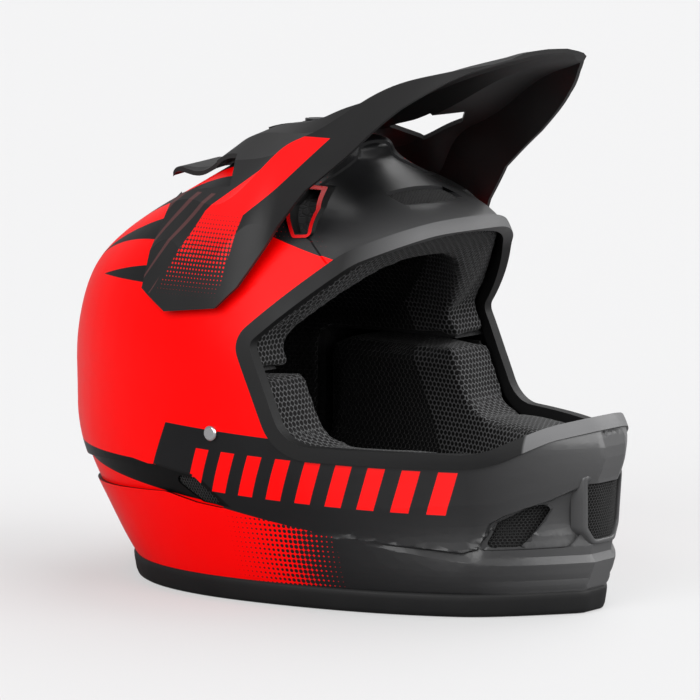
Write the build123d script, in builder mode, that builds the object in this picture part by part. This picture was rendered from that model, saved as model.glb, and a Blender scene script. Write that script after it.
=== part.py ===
from build123d import *
import os
from math import cos, hypot, radians, sin, sqrt

os.makedirs("parts", exist_ok=True)

# Driving sizes, in millimetres. X points forward, Y to the wearer's left, Z up, and the base stands on Z = 0.
half_width = 115.5
rear_reach = 150.0
chin_reach = 205.5
dome_front_reach = 126.0
dome_base_height = 120.0
dome_height = 130.0
centre_x = (rear_reach - chin_reach) / 2
side_view_rear = -200.0
side_view_length = 400.0
side_view_height = 250.0

# Walls, layers and fits
shell_wall = 3.4
fit_gap = 0.3
crown_foam_depth = 24.0
comfort_foam_depth = 7.0
cheek_depth = 40.0
chin_foam_depth = 16.0
neck_roll_depth = 15.0
layer_shift = 1.1
middle_overlap = 6.0
overrun = 60.0

# Levels of the shell's outside: height, front, rear and side reach as shares, and the power of the nose's plan
lower_level_shares = (
    (-0.100, 0.876, 0.573, 0.736, 1.3),
    (0.067, 0.925, 0.687, 0.823, 1.3),
    (0.350, 0.959, 0.850, 0.931, 1.3),
    (0.600, 0.973, 0.967, 0.991, 1.3),
    (0.750, 1.000, 0.997, 1.000, 1.3),
    (0.883, 0.959, 1.000, 1.000, 1.3),
    (1.000, 0.827, 1.000, 1.000, 1.2),
)
dome_level_shares = (
    (0.231, 1.008, 0.970, 0.983, 1.0),
    (0.423, 0.929, 0.900, 0.918, 1.0),
    (0.538, 0.913, 0.793, 0.861, 1.0),
    (0.646, 0.873, 0.640, 0.797, 1.0),
    (0.754, 0.690, 0.460, 0.680, 1.0),
    (0.930, 0.345, 0.185, 0.375, 1.0),
    (0.992, 0.135, 0.067, 0.147, 1.0),
)
plan_turn_shares = (0.0, 0.14, 0.28, 0.42, 0.55, 0.66, 0.76, 0.85, 0.93, 1.0)
plan_middle_power = 1.1

# Eye port, in the side view: its outline is the outer edge of the trim
port_rear = 2.0
port_floor = 82.0
port_length = 188.0
port_height = 130.0
port_shares = (
    (0.000, 0.500), (0.149, 0.015), (0.707, 0.000), (0.840, 0.115),
    (1.000, 0.185), (1.000, 1.000), (0.415, 0.992), (0.250, 0.862),
)
port_radius_shares = (0.108, 0.230, 0.310, 0.140, 0.010, 0.010, 0.230, 0.310)
trim_cover = 5.0
trim_thickness = 1.3
trim_lip = 3.0

# Base trim
base_trim_height = 12.0
base_trim_sole = 3.5
base_trim_inner_cover = 2.0

# Where the linings part
lining_seam = 128.0
rear_lining_bottom = 46.0
rear_lining_front = -82.0
cheek_bottom = 20.0
cheek_rear = -76.0
cheek_front = 96.0
cheek_corner = 16.0
chin_foam_rear = 99.0
chin_foam_bottom = 17.0
chin_foam_top = 74.0
neck_roll_bottom = 18.0
seam_gap = 1.0
port_wrap = 7.0
wrap_lap = 0.5
plate_thickness = 1.6
plate_inset = 2.0
pad_channel_depth = 3.0
pad_channel_width = 4.0
pad_channel_rear = -20.0
pad_channel_lean = 18.0
crown_channel_reach = 30.0

# Visor
visor_wall = 2.4
visor_pivot_height = 174.0
visor_rear = -106.0
visor_run = 240.0
visor_base = 150.0
visor_half_width = 120.0
visor_rise = 150.0
slot_half_width = 3.0
slot_floor_radius = 79.0
slot_floor_wall = 2.4
slot_pad_half_width = 14.0
slot_pad_rear_turn = 17.0
slot_pad_front_turn = 11.5
slot_pocket_half_width = 11.5
slot_pocket_turn = 13.5
slot_turn = 8.0
slot_pocket_height = 14.0

# Fasteners
screw_shank_radius = 2.5
screw_head_radius = 7.0
screw_head_height = 1.9
screw_reach = 10.0
screw_slot_width = 1.6
screw_slot_depth = 1.0
washer_radius = 8.5
washer_thickness = 0.8
running_gap = 0.1
touch_gap = 0.1
insert_radius = 6.0
insert_flange_radius = 9.0
insert_length = 14.0
pivot_boss_radius = 9.0
boss_gap = 0.8
pivot_pin_radius = 4.0
pivot_pin_depth = 2.6
pivot_pin_seat = 4.0
grommet_radius = 7.0
grommet_flange_radius = 9.0
grommet_flange_thickness = 1.2
rivet_x = -10.3
rivet_height = 95.0
rivet_head_radius = 4.3
rivet_head_height = 2.2
rivet_head_round = 1.2
rivet_shank_radius = 2.0
spacer_radius = 5.0
snap_radius = 4.0
snap_ring_radius = 6.0
snap_gap = 0.5
snap_places = ((-55.0, 96.0), (40.0, 50.0), (70.0, 62.0))

# Straps and rings
webbing_width = 22.0
webbing_thickness = 1.8
strap_depth = 5.4
strap_top = 106.0
strap_turn_height = 19.0
strap_knee_height = 10.0
strap_knee_reach = 85.0
strap_heel_reach = 76.0
strap_floor_gap = 0.3
loop_reach = 30.0
long_strap_end = -22.0
ring_wire = 3.2
ring_inner_width = 25.0
ring_length = 24.0
snap_stud_radius = 5.5
snap_stud_height = 2.6

# Vents and steps of the shell, as places in the side view
stripe_shares = (
    (0.025, 0.160), (0.125, 0.208), (0.385, 0.236), (0.440, 0.220), (0.494, 0.212),
    (0.438, 0.284), (0.380, 0.296), (0.250, 0.284), (0.125, 0.264), (0.025, 0.280),
)
side_vent_shares = ((0.390, 0.276), (0.448, 0.222), (0.490, 0.216), (0.438, 0.276))
crown_step_shares = (
    (0.532, 0.832), (0.576, 0.800), (0.603, 0.752), (0.700, 0.720), (0.800, 0.800), (0.800, 1.040), (0.532, 1.040),
)
intake_shares = ((0.525, 0.864), (0.555, 0.804), (0.578, 0.806), (0.568, 0.864), (0.547, 0.904), (0.522, 0.908))
rear_vent_shares = ((0.100, 0.372), (0.132, 0.380), (0.122, 0.512), (0.088, 0.524))
side_mesh_shares = ((0.821, 0.154), (0.860, 0.154), (0.887, 0.250), (0.865, 0.240), (0.833, 0.208))
chin_duct_shares = ((0.819, 0.148), (0.907, 0.150), (0.917, 0.282), (0.891, 0.258), (0.845, 0.224), (0.829, 0.206))
stripe_recess = 2.0
crown_recess = 1.5
duct_recess = 2.2
small_corner = 1.5
vent_corner = 2.5
mesh_thickness = 2.0
mesh_margin = 3.0
mesh_gap = 1.0
insert_plate_thickness = 0.8
intake_stand = 0.8
intake_wall = 1.6

# Front vent and brow vent, seen from the front: half widths and heights
front_vent_bottom = 41.0
front_vent_height = 31.0
front_vent_width = 31.0
front_vent_shares = ((0.242, 0.0), (0.758, 0.0), (0.935, 0.194), (1.0, 1.0), (0.0, 1.0), (0.065, 0.194))
hex_radius = 2.5
hex_pitch = 5.6
hex_columns = 7
hex_rows = 7
brow_vent_bottom = 216.0
brow_vent_height = 14.0
brow_vent_width = 58.0
brow_vent_rear = 40.0
brow_vent_shares = ((0.0, 0.0), (1.0, 0.0), (0.88, 1.0), (0.12, 1.0))

# Visor sections from rear to front: place, then its inner face from the middle down to the side
visor_section_shares = (
    (0.000, ((0.000, 0.473), (0.125, 0.470), (0.250, 0.450), (0.450, 0.410),
             (0.617, 0.343), (0.767, 0.207), (0.850, 0.000))),
    (0.092, ((0.000, 0.530), (0.133, 0.528), (0.267, 0.517), (0.483, 0.460),
             (0.650, 0.387), (0.817, 0.253), (0.933, 0.000))),
    (0.183, ((0.000, 0.613), (0.133, 0.610), (0.267, 0.590), (0.500, 0.523),
             (0.717, 0.420), (0.858, 0.260), (0.975, 0.000))),
    (0.275, ((0.000, 0.690), (0.150, 0.683), (0.283, 0.660), (0.517, 0.573),
             (0.733, 0.440), (0.867, 0.280), (0.988, 0.000))),
    (0.367, ((0.000, 0.713), (0.167, 0.703), (0.267, 0.667), (0.517, 0.590),
             (0.775, 0.447), (0.900, 0.233), (0.975, 0.033))),
    (0.442, ((0.000, 0.760), (0.167, 0.743), (0.258, 0.683), (0.483, 0.633),
             (0.708, 0.560), (0.833, 0.367), (0.967, 0.033))),
    (0.510, ((0.000, 0.797), (0.158, 0.780), (0.250, 0.707), (0.450, 0.687),
             (0.667, 0.660), (0.800, 0.367), (0.933, 0.033))),
    (0.594, ((0.000, 0.840), (0.150, 0.823), (0.242, 0.753), (0.433, 0.740),
             (0.650, 0.720), (0.758, 0.507), (0.867, 0.200))),
    (0.710, ((0.000, 0.900), (0.133, 0.887), (0.225, 0.840), (0.400, 0.837),
             (0.608, 0.833), (0.717, 0.653), (0.800, 0.433))),
    (0.815, ((0.000, 0.943), (0.125, 0.937), (0.217, 0.913), (0.367, 0.913),
             (0.550, 0.907), (0.650, 0.807), (0.733, 0.667))),
    (0.890, ((0.000, 0.970), (0.108, 0.967), (0.200, 0.953), (0.333, 0.947),
             (0.475, 0.937), (0.533, 0.880), (0.633, 0.747))),
    (0.950, ((0.000, 0.993), (0.092, 0.991), (0.167, 0.987), (0.267, 0.977),
             (0.375, 0.960), (0.467, 0.893), (0.583, 0.747))),
    (1.000, ((0.000, 1.007), (0.075, 1.005), (0.142, 1.000), (0.225, 0.987),
             (0.317, 0.970), (0.433, 0.893), (0.567, 0.747))),
)
visor_side_shares = (
    (0.458, 0.167), (0.413, 0.090), (0.269, 0.063), (0.169, 0.147), (0.179, 0.373), (0.008, 0.373), (0.008, 1.133),
    (0.985, 1.133), (0.985, 0.995), (0.933, 0.957), (0.890, 0.913), (0.815, 0.820), (0.710, 0.667), (0.594, 0.520),
    (0.531, 0.387),
)
rear_window_shares = ((0.188, 0.667), (0.342, 0.683), (0.275, 0.467), (0.108, 0.333))
front_window_shares = ((0.442, 0.250), (0.442, 0.517), (0.542, 0.550), (0.600, 0.417), (0.567, 0.233))
tongue_side_shares = ((-0.100, 0.260), (0.183, 0.350), (0.183, 1.100), (-0.100, 1.100))

# Limits that every cut runs past
reach_x = chin_reach + overrun
reach_y = half_width + overrun
top_height = dome_base_height + dome_height + overrun


# One level's half outline in plan, from the rear centre round the side to the nose
def half_plan(front, rear, side, power):
    points = []
    for share in plan_turn_shares[1:-1]:
        turn = radians(share * 180)
        if turn < radians(90):
            points.append((centre_x - rear * cos(turn), side * sin(turn)))
        else:
            points.append((centre_x - front * cos(turn), side * sin(turn) ** power))
    return [(centre_x - rear, 0)] + points + [(centre_x + front, 0)]


# How far along the plan curve each of its points lies, as shares, and how long the curve is beside its chord
def plan_lengths():
    points = half_plan(dome_front_reach, rear_reach, half_width, plan_middle_power)
    runs = [0.0]
    for (x1, y1), (x2, y2) in zip(points, points[1:]):
        runs.append(runs[-1] + hypot(x2 - x1, y2 - y1))
    return [run / runs[-1] for run in runs], runs[-1] / hypot(dome_front_reach + rear_reach, half_width)


plan_run_shares, plan_speed = plan_lengths()


# The shell's levels moved inward by a depth: height, front, rear, side, power
def levels_at(depth):
    levels = []
    shift = depth * layer_shift
    for rise, front, rear, side, power in lower_level_shares:
        levels.append((rise * dome_base_height, front * chin_reach - shift, rear * rear_reach - shift,
                       side * half_width - shift, power))
    for rise, front, rear, side, power in dome_level_shares:
        levels.append((dome_base_height + rise * (dome_height - depth), front * (dome_front_reach - depth),
                       rear * (rear_reach - depth), side * (half_width - depth), power))
    return levels


# The left half of the shell's outside, moved inward by a depth and carried a little past the middle plane
def envelope(depth):
    with BuildPart() as form:
        for height, front, rear, side, power in levels_at(depth):
            points = half_plan(front, rear, side, power)
            speed = hypot(front + rear, side) * plan_speed
            with BuildSketch(Plane.XY.offset(height)):
                with BuildLine():
                    add(Edge.make_spline([Vector(*point) for point in points], parameters=plan_run_shares,
                                         tangents=[Vector(0, speed), Vector(0, -speed)], scale=False))
                    Polyline(points[-1], (points[-1][0], -middle_overlap), (points[0][0], -middle_overlap), points[0])
                make_face()
        loft()
    return form.part


# The helmet's half width at a place in the side view, by the same plan curve
def half_width_at(along, height):
    levels = levels_at(0)
    for low, high in zip(levels, levels[1:]):
        if low[0] <= height <= high[0]:
            share = (height - low[0]) / (high[0] - low[0])
            front, rear, side, power = [a + (b - a) * share for a, b in zip(low[1:], high[1:])]
            reach = front if along > centre_x else rear
            turn = sqrt(max(1 - ((along - centre_x) / reach) ** 2, 0))
            return side * (turn ** power if along > centre_x else turn)
    raise ValueError("height outside the shell")


def placed(shares, left, bottom, width, height):
    return [(left + width * across, bottom + height * up) for across, up in shares]


# A sketch of a closed outline with rounded corners
def rounded_outline(points, radii, grow=0.0):
    with BuildSketch() as outline:
        with BuildLine():
            FilletPolyline(*points, radius=radii, close=True)
        make_face()
        if grow:
            offset(amount=grow)
    return outline.sketch


# A solid through the whole helmet from an outline in the side view
def side_prism(points, radii, grow=0.0):
    face = rounded_outline(points, radii, grow)
    with BuildPart() as prism:
        with BuildSketch(Plane.XZ):
            add(face)
        extrude(amount=reach_y, both=True)
    return prism.part


def side_tool(shares, radius, grow=0.0):
    return side_prism(placed(shares, side_view_rear, 0, side_view_length, side_view_height), radius, grow)


# The eye port grown from the shell's cut edge
def port_prism(grow):
    points = placed(port_shares, port_rear, port_floor, port_length, port_height)
    return side_prism(points, [share * port_height for share in port_radius_shares], grow - trim_cover)


# A solid from an outline seen from the front, between two places along X
def front_tool(shares, bottom, width, height, grow, rear):
    face = rounded_outline(placed(shares, -width / 2, bottom, width, height), vent_corner, grow)
    with BuildPart() as prism:
        with BuildSketch(Plane.YZ.offset(rear)):
            add(face)
        extrude(amount=reach_x - rear)
    return prism.part


# A box between two corners
def block(low, high):
    with BuildPart() as solid:
        with Locations(tuple((a + b) / 2 for a, b in zip(low, high))):
            Box(*[b - a for a, b in zip(low, high)])
    return solid.part


# The left half of a layer of space between two heights
def left_space(bottom, top, rear=-reach_x, front=reach_x):
    return block((rear, 0, bottom), (front, reach_y, top))


# What lies in one form and every kept form, outside every cut form
def cut_form(form, keep=(), cut=()):
    with BuildPart() as result:
        add(form)
        for tool in keep:
            add(tool, mode=Mode.INTERSECT)
        for tool in cut:
            add(tool, mode=Mode.SUBTRACT)
    return result.part


# A round bar along Y, from one distance off the middle plane to another
def side_bar(radius, start, end, along, height):
    with BuildPart() as solid:
        with BuildSketch(Plane.XZ.offset(-start)):
            with Locations((along, height)):
                Circle(radius)
        extrude(amount=start - end)
    return solid.part


# A round bar along Z over the crown's centre
def top_bar(radius, start, end):
    with BuildPart() as solid:
        with BuildSketch(Plane.XY.offset(start)):
            with Locations((centre_x, 0)):
                Circle(radius)
        extrude(amount=end - start)
    return solid.part


def saved(name, part):
    part.label = name
    print(name, part.is_valid, len(part.solids()), round(part.volume), flush=True)
    export_step(part, f"parts/{name}.step")


# Forms shared by several pieces
outside = envelope(0)
inside = envelope(shell_wall)
foam_outside = envelope(shell_wall + fit_gap)
crown_depth = shell_wall + fit_gap + crown_foam_depth
crown_inside = envelope(crown_depth)
comfort_outside = envelope(crown_depth + fit_gap)
comfort_inside = envelope(crown_depth + fit_gap + comfort_foam_depth)
comfort_channel_floor = envelope(crown_depth + fit_gap + comfort_foam_depth - pad_channel_depth)
wrap_outside = envelope(shell_wall + trim_thickness + fit_gap * 2)
plate_depth = strap_depth + webbing_thickness + fit_gap * 3
plate_outside = envelope(plate_depth)
plate_inside = envelope(plate_depth + plate_thickness)
pad_back = envelope(plate_depth + plate_thickness + fit_gap)
cheek_inside = envelope(cheek_depth)
cheek_channel_floor = envelope(cheek_depth - pad_channel_depth)
trim_outside = envelope(-trim_thickness)
trim_inside = envelope(shell_wall + trim_thickness)
mesh_inside = envelope(shell_wall + mesh_thickness)
port = port_prism(0)
left_half = left_space(-overrun, top_height)
pivot_y = half_width_at(centre_x, visor_pivot_height)
rivet_y = half_width_at(rivet_x, rivet_height)
crown_top = levels_at(0)[-1][0]

# Vent tools
stripe_tool = side_tool(stripe_shares, small_corner)
side_vent_tool = side_tool(side_vent_shares, vent_corner)
crown_step_tool = side_tool(crown_step_shares, small_corner)
intake_tool = side_tool(intake_shares, vent_corner)
rear_vent_tool = side_tool(rear_vent_shares, vent_corner)
side_mesh_tool = side_tool(side_mesh_shares, vent_corner)
chin_duct_tool = side_tool(chin_duct_shares, vent_corner)


def front_vent_tool(grow):
    return front_tool(front_vent_shares, front_vent_bottom, front_vent_width, front_vent_height, grow, chin_foam_rear)


def brow_vent_tool(grow):
    return front_tool(brow_vent_shares, brow_vent_bottom, brow_vent_width, brow_vent_height, grow, brow_vent_rear)


# Shell: one moulding with the port, the vents, the recessed side stripe and the stepped crown front
plain_shell = cut_form(outside, keep=[left_space(base_trim_sole, top_height)], cut=[port, inside])
with BuildPart() as shell:
    add(plain_shell)
    for depth, tool in ((stripe_recess, stripe_tool), (crown_recess, crown_step_tool), (duct_recess, chin_duct_tool)):
        add(cut_form(outside, keep=[tool], cut=[envelope(depth)]), mode=Mode.SUBTRACT)
    for tool in (side_vent_tool, intake_tool, rear_vent_tool, side_mesh_tool, front_vent_tool(0), brow_vent_tool(0)):
        add(tool, mode=Mode.SUBTRACT)
    add(side_bar(grommet_radius, 0, reach_y, centre_x, visor_pivot_height), mode=Mode.SUBTRACT)
    add(side_bar(rivet_shank_radius, 0, reach_y, rivet_x, rivet_height), mode=Mode.SUBTRACT)
    add(top_bar(insert_radius, crown_top - insert_length, top_height), mode=Mode.SUBTRACT)
    mirror(about=Plane.XZ)
saved("shell", shell.part)

# Rubber trim of the eye port: a channel that grips the shell's edge
with BuildPart() as eyeport_trim:
    add(cut_form(trim_outside, keep=[port_prism(trim_cover), left_space(base_trim_height + fit_gap, top_height)],
                 cut=[port_prism(-trim_lip), trim_inside, plain_shell]))
    mirror(about=Plane.XZ)
saved("eyeport_trim", eyeport_trim.part)

# Rubber trim of the base: a channel whose sole is the face that the helmet stands on
with BuildPart() as base_trim:
    add(cut_form(trim_outside, keep=[left_space(0, base_trim_height)],
                 cut=[envelope(shell_wall + base_trim_inner_cover), plain_shell]))
    mirror(about=Plane.XZ)
saved("base_trim", base_trim.part)

# Crown foam under the shell, open to the brow and rear vents, with room for the pivots and the centre insert
with BuildPart() as lining_zone:
    add(left_space(lining_seam + fit_gap, top_height))
    add(left_space(rear_lining_bottom, top_height, front=rear_lining_front))
grommet_room = side_bar(grommet_flange_radius + fit_gap, pivot_y - pivot_boss_radius, reach_y, centre_x,
                        visor_pivot_height)
with BuildPart() as crown_foam:
    add(cut_form(foam_outside, keep=[lining_zone.part],
                 cut=[port_prism(port_wrap), crown_inside, brow_vent_tool(mesh_margin + mesh_gap), grommet_room,
                      side_tool(rear_vent_shares, vent_corner, mesh_margin + mesh_gap),
                      top_bar(insert_radius + fit_gap, crown_top - insert_length - fit_gap, top_height)]))
    mirror(about=Plane.XZ)
saved("crown_foam", crown_foam.part)

# Comfort liner: padding over the foam that wraps round its edge at the port, with two sewn channels
foam_core = cut_form(outside, keep=[left_half], cut=[comfort_outside, port_prism(port_wrap - fit_gap)])
crown_channel = block((-reach_x, crown_channel_reach, lining_seam), (reach_x, crown_channel_reach + pad_channel_width,
                                                                     top_height))
with BuildPart() as comfort_liner:
    add(cut_form(wrap_outside, keep=[lining_zone.part], cut=[comfort_inside, port_prism(-wrap_lap), foam_core]))
    add(cut_form(comfort_channel_floor, keep=[crown_channel]), mode=Mode.SUBTRACT)
    mirror(about=Plane.XZ)
saved("comfort_liner", comfort_liner.part)


# The outline of a cheek pad in the side view, grown by a margin
def cheek_prism(grow):
    top = lining_seam - seam_gap
    points = [(cheek_rear, cheek_bottom), (cheek_front, cheek_bottom), (cheek_front, top), (cheek_rear, top)]
    return side_prism(points, cheek_corner, grow)


# Cheek pads: thick cushions with a plate behind and a slanted channel across the face
pad_channel_shift = pad_channel_lean + pad_channel_width
pad_channel = side_prism([(pad_channel_rear, cheek_bottom), (pad_channel_rear + pad_channel_width, cheek_bottom),
                          (pad_channel_rear + pad_channel_shift, lining_seam),
                          (pad_channel_rear + pad_channel_lean, lining_seam)], fit_gap)
pad_pocket = cut_form(outside, keep=[left_half], cut=[pad_back, port_prism(trim_cover)])
with BuildPart() as cheek_pad_left:
    add(cut_form(wrap_outside, keep=[cheek_prism(0), left_half],
                 cut=[cheek_inside, port_prism(-wrap_lap), pad_pocket]))
    add(cut_form(cheek_channel_floor, keep=[pad_channel]), mode=Mode.SUBTRACT)
saved("cheek_pad_left", cheek_pad_left.part)
with BuildPart() as cheek_pad_right:
    mirror(cheek_pad_left.part, about=Plane.XZ)
saved("cheek_pad_right", cheek_pad_right.part)

# Backing plates of the cheek pads with their snap studs, and the snap sockets on the shell
with BuildPart() as cheek_plate_left:
    add(cut_form(plate_outside, keep=[cheek_prism(-plate_inset), left_half],
                 cut=[plate_inside, port_prism(trim_cover + seam_gap)]))
saved("cheek_plate_left", cheek_plate_left.part)
with BuildPart() as cheek_plate_right:
    mirror(cheek_plate_left.part, about=Plane.XZ)
saved("cheek_plate_right", cheek_plate_right.part)
stud_outside = envelope(shell_wall + snap_gap)
socket_inside = envelope(plate_depth - fit_gap)
with BuildPart() as cheek_snaps_left:
    for along, height in snap_places:
        add(cut_form(stud_outside, keep=[side_bar(snap_radius, 0, reach_y, along, height)], cut=[plate_outside]))
saved("cheek_snaps_left", cheek_snaps_left.part)
with BuildPart() as cheek_snaps_right:
    mirror(cheek_snaps_left.part, about=Plane.XZ)
saved("cheek_snaps_right", cheek_snaps_right.part)
with BuildPart() as snap_sockets:
    for along, height in snap_places:
        add(cut_form(inside, keep=[side_bar(snap_ring_radius, 0, reach_y, along, height)],
                     cut=[socket_inside, side_bar(snap_radius + running_gap, 0, reach_y, along, height)]))
    mirror(about=Plane.XZ)
saved("snap_sockets", snap_sockets.part)

# Chin bar foam with its vent openings, and the neck roll at the rear
side_mesh_room = side_tool(side_mesh_shares, vent_corner, mesh_margin + mesh_gap)
with BuildPart() as chin_foam:
    add(cut_form(foam_outside, keep=[left_space(chin_foam_bottom, chin_foam_top, rear=chin_foam_rear)],
                 cut=[envelope(shell_wall + fit_gap + chin_foam_depth), front_vent_tool(mesh_margin + mesh_gap),
                      side_mesh_room, port_prism(port_wrap)]))
    mirror(about=Plane.XZ)
saved("chin_foam", chin_foam.part)
with BuildPart() as neck_roll:
    add(cut_form(foam_outside,
                 keep=[left_space(neck_roll_bottom, rear_lining_bottom - seam_gap, front=rear_lining_front - seam_gap)],
                 cut=[envelope(shell_wall + fit_gap + neck_roll_depth)]))
    mirror(about=Plane.XZ)
saved("neck_roll", neck_roll.part)

# Mesh plates behind the vents; the front one has open hexagons
hex_up = hex_pitch * sqrt(3) / 2
with BuildPart() as hex_cutter:
    with BuildSketch(Plane.YZ.offset(chin_foam_rear)):
        for row in range(hex_rows):
            for column in range(hex_columns):
                across = (column - (hex_columns - 1) / 2 + (row % 2) / 2) * hex_pitch
                with Locations((across, front_vent_bottom + (row + 1) * hex_up - hex_radius)):
                    RegularPolygon(hex_radius, 6, rotation=30)
    extrude(amount=reach_x - chin_foam_rear)
with BuildPart() as front_mesh_half:
    add(cut_form(inside, keep=[front_vent_tool(mesh_margin), left_half], cut=[mesh_inside]))
with BuildPart() as front_mesh:
    add(front_mesh_half.part)
    mirror(about=Plane.XZ)
    add(cut_form(hex_cutter.part, keep=[front_vent_tool(0)]), mode=Mode.SUBTRACT)
saved("front_mesh", front_mesh.part)
with BuildPart() as side_mesh_left:
    add(cut_form(inside, keep=[side_tool(side_mesh_shares, vent_corner, mesh_margin), left_half],
                 cut=[mesh_inside, front_vent_tool(mesh_margin + fit_gap)]))
saved("side_mesh_left", side_mesh_left.part)
with BuildPart() as side_mesh_right:
    mirror(side_mesh_left.part, about=Plane.XZ)
saved("side_mesh_right", side_mesh_right.part)
with BuildPart() as brow_mesh:
    add(cut_form(inside, keep=[brow_vent_tool(mesh_margin), left_half], cut=[mesh_inside]))
    mirror(about=Plane.XZ)
saved("brow_mesh", brow_mesh.part)
with BuildPart() as rear_meshes:
    add(cut_form(inside, keep=[side_tool(rear_vent_shares, vent_corner, mesh_margin), left_half], cut=[mesh_inside]))
    mirror(about=Plane.XZ)
saved("rear_meshes", rear_meshes.part)
with BuildPart() as side_vent_inserts:
    add(cut_form(inside, keep=[side_tool(side_vent_shares, vent_corner, mesh_margin), left_half],
                 cut=[envelope(shell_wall + insert_plate_thickness)]))
    mirror(about=Plane.XZ)
saved("side_vent_inserts", side_vent_inserts.part)
with BuildPart() as intake_frames:
    add(cut_form(envelope(-intake_stand), keep=[intake_tool, left_half],
                 cut=[inside, side_tool(intake_shares, vent_corner, -intake_wall)]))
    mirror(about=Plane.XZ)
saved("intake_frames", intake_frames.part)


# Points moved sideways from a line by a distance, with sharp mitres; a positive distance goes to its left
def shifted(points, distance):
    directions = []
    for (x1, y1), (x2, y2) in zip(points, points[1:]):
        length = hypot(x2 - x1, y2 - y1)
        directions.append(((x2 - x1) / length, (y2 - y1) / length))
    moved = []
    for index, (x, y) in enumerate(points):
        ax, ay = directions[max(index - 1, 0)]
        bx, by = directions[min(index, len(directions) - 1)]
        scale = distance / (1 + ax * bx + ay * by)
        moved.append((x - (ay + by) * scale, y + (ax + bx) * scale))
    return moved


# The left half of the visor's inner form, grown outward by a distance and closed far below
def visor_form(grow, floor):
    with BuildPart() as form:
        for place, section in visor_section_shares:
            points = shifted(placed(section, 0, visor_base, visor_half_width, visor_rise), grow)
            top, end = points[0], points[-1]
            with BuildSketch(Plane.YZ.offset(visor_rear + place * visor_run)):
                with BuildLine():
                    Polyline(*points, (end[0], floor), (-middle_overlap, floor), (-middle_overlap, top[1]), close=True)
                make_face()
        loft()
    return form.part


# A ring sector about the pivot in the side view, from a rear turn to a front turn off the vertical
def pivot_sector(inner, outer, rear_turn, front_turn, half_reach):
    with BuildPart() as sector:
        with BuildSketch(Plane.XZ):
            with Locations((centre_x, visor_pivot_height)):
                Circle(outer)
                Circle(inner, mode=Mode.SUBTRACT)
            with BuildLine():
                far = outer * 2
                left = (centre_x - far * sin(radians(rear_turn)), visor_pivot_height + far * cos(radians(rear_turn)))
                right = (centre_x + far * sin(radians(front_turn)), visor_pivot_height + far * cos(radians(front_turn)))
                Polyline((centre_x, visor_pivot_height), left, right, close=True)
            make_face(mode=Mode.INTERSECT)
        extrude(amount=half_reach, both=True)
    return sector.part


# A tool through the visor from above, from an outline in plan
def plan_tool(shares, bottom):
    points = placed(shares, visor_rear, 0, visor_run, visor_half_width)
    with BuildPart() as prism:
        with BuildSketch(Plane.XY.offset(bottom)):
            with BuildLine():
                Polyline(*points, close=True)
            make_face()
        extrude(amount=top_height - bottom)
    return prism.part


# Visor: a thin faceted peak with two side arms, a centre spine that ends in a tongue, windows, slot and bosses
visor_side = [(visor_rear + visor_run * across, visor_base + visor_rise * up) for across, up in visor_side_shares]
visor_outer = visor_form(visor_wall, visor_base - overrun)
visor_inner = visor_form(0, visor_base - overrun * 2)
with BuildPart() as visor_side_tool:
    with BuildSketch(Plane.XZ):
        with BuildLine():
            Polyline(*visor_side, close=True)
        make_face()
    extrude(amount=reach_y, both=True)
slot_top = slot_floor_radius + slot_floor_wall
with BuildPart() as visor:
    add(cut_form(visor_outer, keep=[visor_side_tool.part, left_half], cut=[visor_inner]))
    boss = side_bar(pivot_boss_radius, 0, reach_y, centre_x, visor_pivot_height)
    add(cut_form(visor_outer, keep=[boss], cut=[envelope(-boss_gap)]))
    add(side_bar(pivot_pin_radius, 0, pivot_y + pivot_pin_seat, centre_x, visor_pivot_height), mode=Mode.SUBTRACT)
    for shares in (rear_window_shares, front_window_shares, tongue_side_shares):
        add(plan_tool(shares, visor_base + fit_gap), mode=Mode.SUBTRACT)
    mirror(about=Plane.XZ)
    add(pivot_sector(slot_floor_radius, slot_top + seam_gap, slot_pad_rear_turn, slot_pad_front_turn,
                     slot_pad_half_width))
    add(pivot_sector(slot_top, slot_top + slot_pocket_height, slot_pocket_turn, slot_pocket_turn,
                     slot_pocket_half_width), mode=Mode.SUBTRACT)
    add(pivot_sector(slot_floor_radius / 2, reach_y, slot_turn, slot_turn, slot_half_width), mode=Mode.SUBTRACT)
saved("visor", visor.part)

# Pivot studs pressed in the visor's bosses, and the grommets in the shell that they turn in
with BuildPart() as pivot_studs:
    add(side_bar(pivot_pin_radius, pivot_y - pivot_pin_depth, pivot_y + pivot_pin_seat, centre_x, visor_pivot_height))
    mirror(about=Plane.XZ)
saved("pivot_studs", pivot_studs.part)
with BuildPart() as grommets:
    grommet_back = pivot_y - shell_wall - grommet_flange_thickness
    add(cut_form(outside, keep=[side_bar(grommet_radius, grommet_back, reach_y, centre_x, visor_pivot_height)]))
    add(cut_form(envelope(shell_wall), keep=[side_bar(grommet_flange_radius,
                                                      grommet_back, reach_y,
                                                      centre_x, visor_pivot_height)]))
    add(side_bar(pivot_pin_radius + running_gap, 0, reach_y, centre_x, visor_pivot_height), mode=Mode.SUBTRACT)
    mirror(about=Plane.XZ)
saved("grommets", grommets.part)

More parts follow.
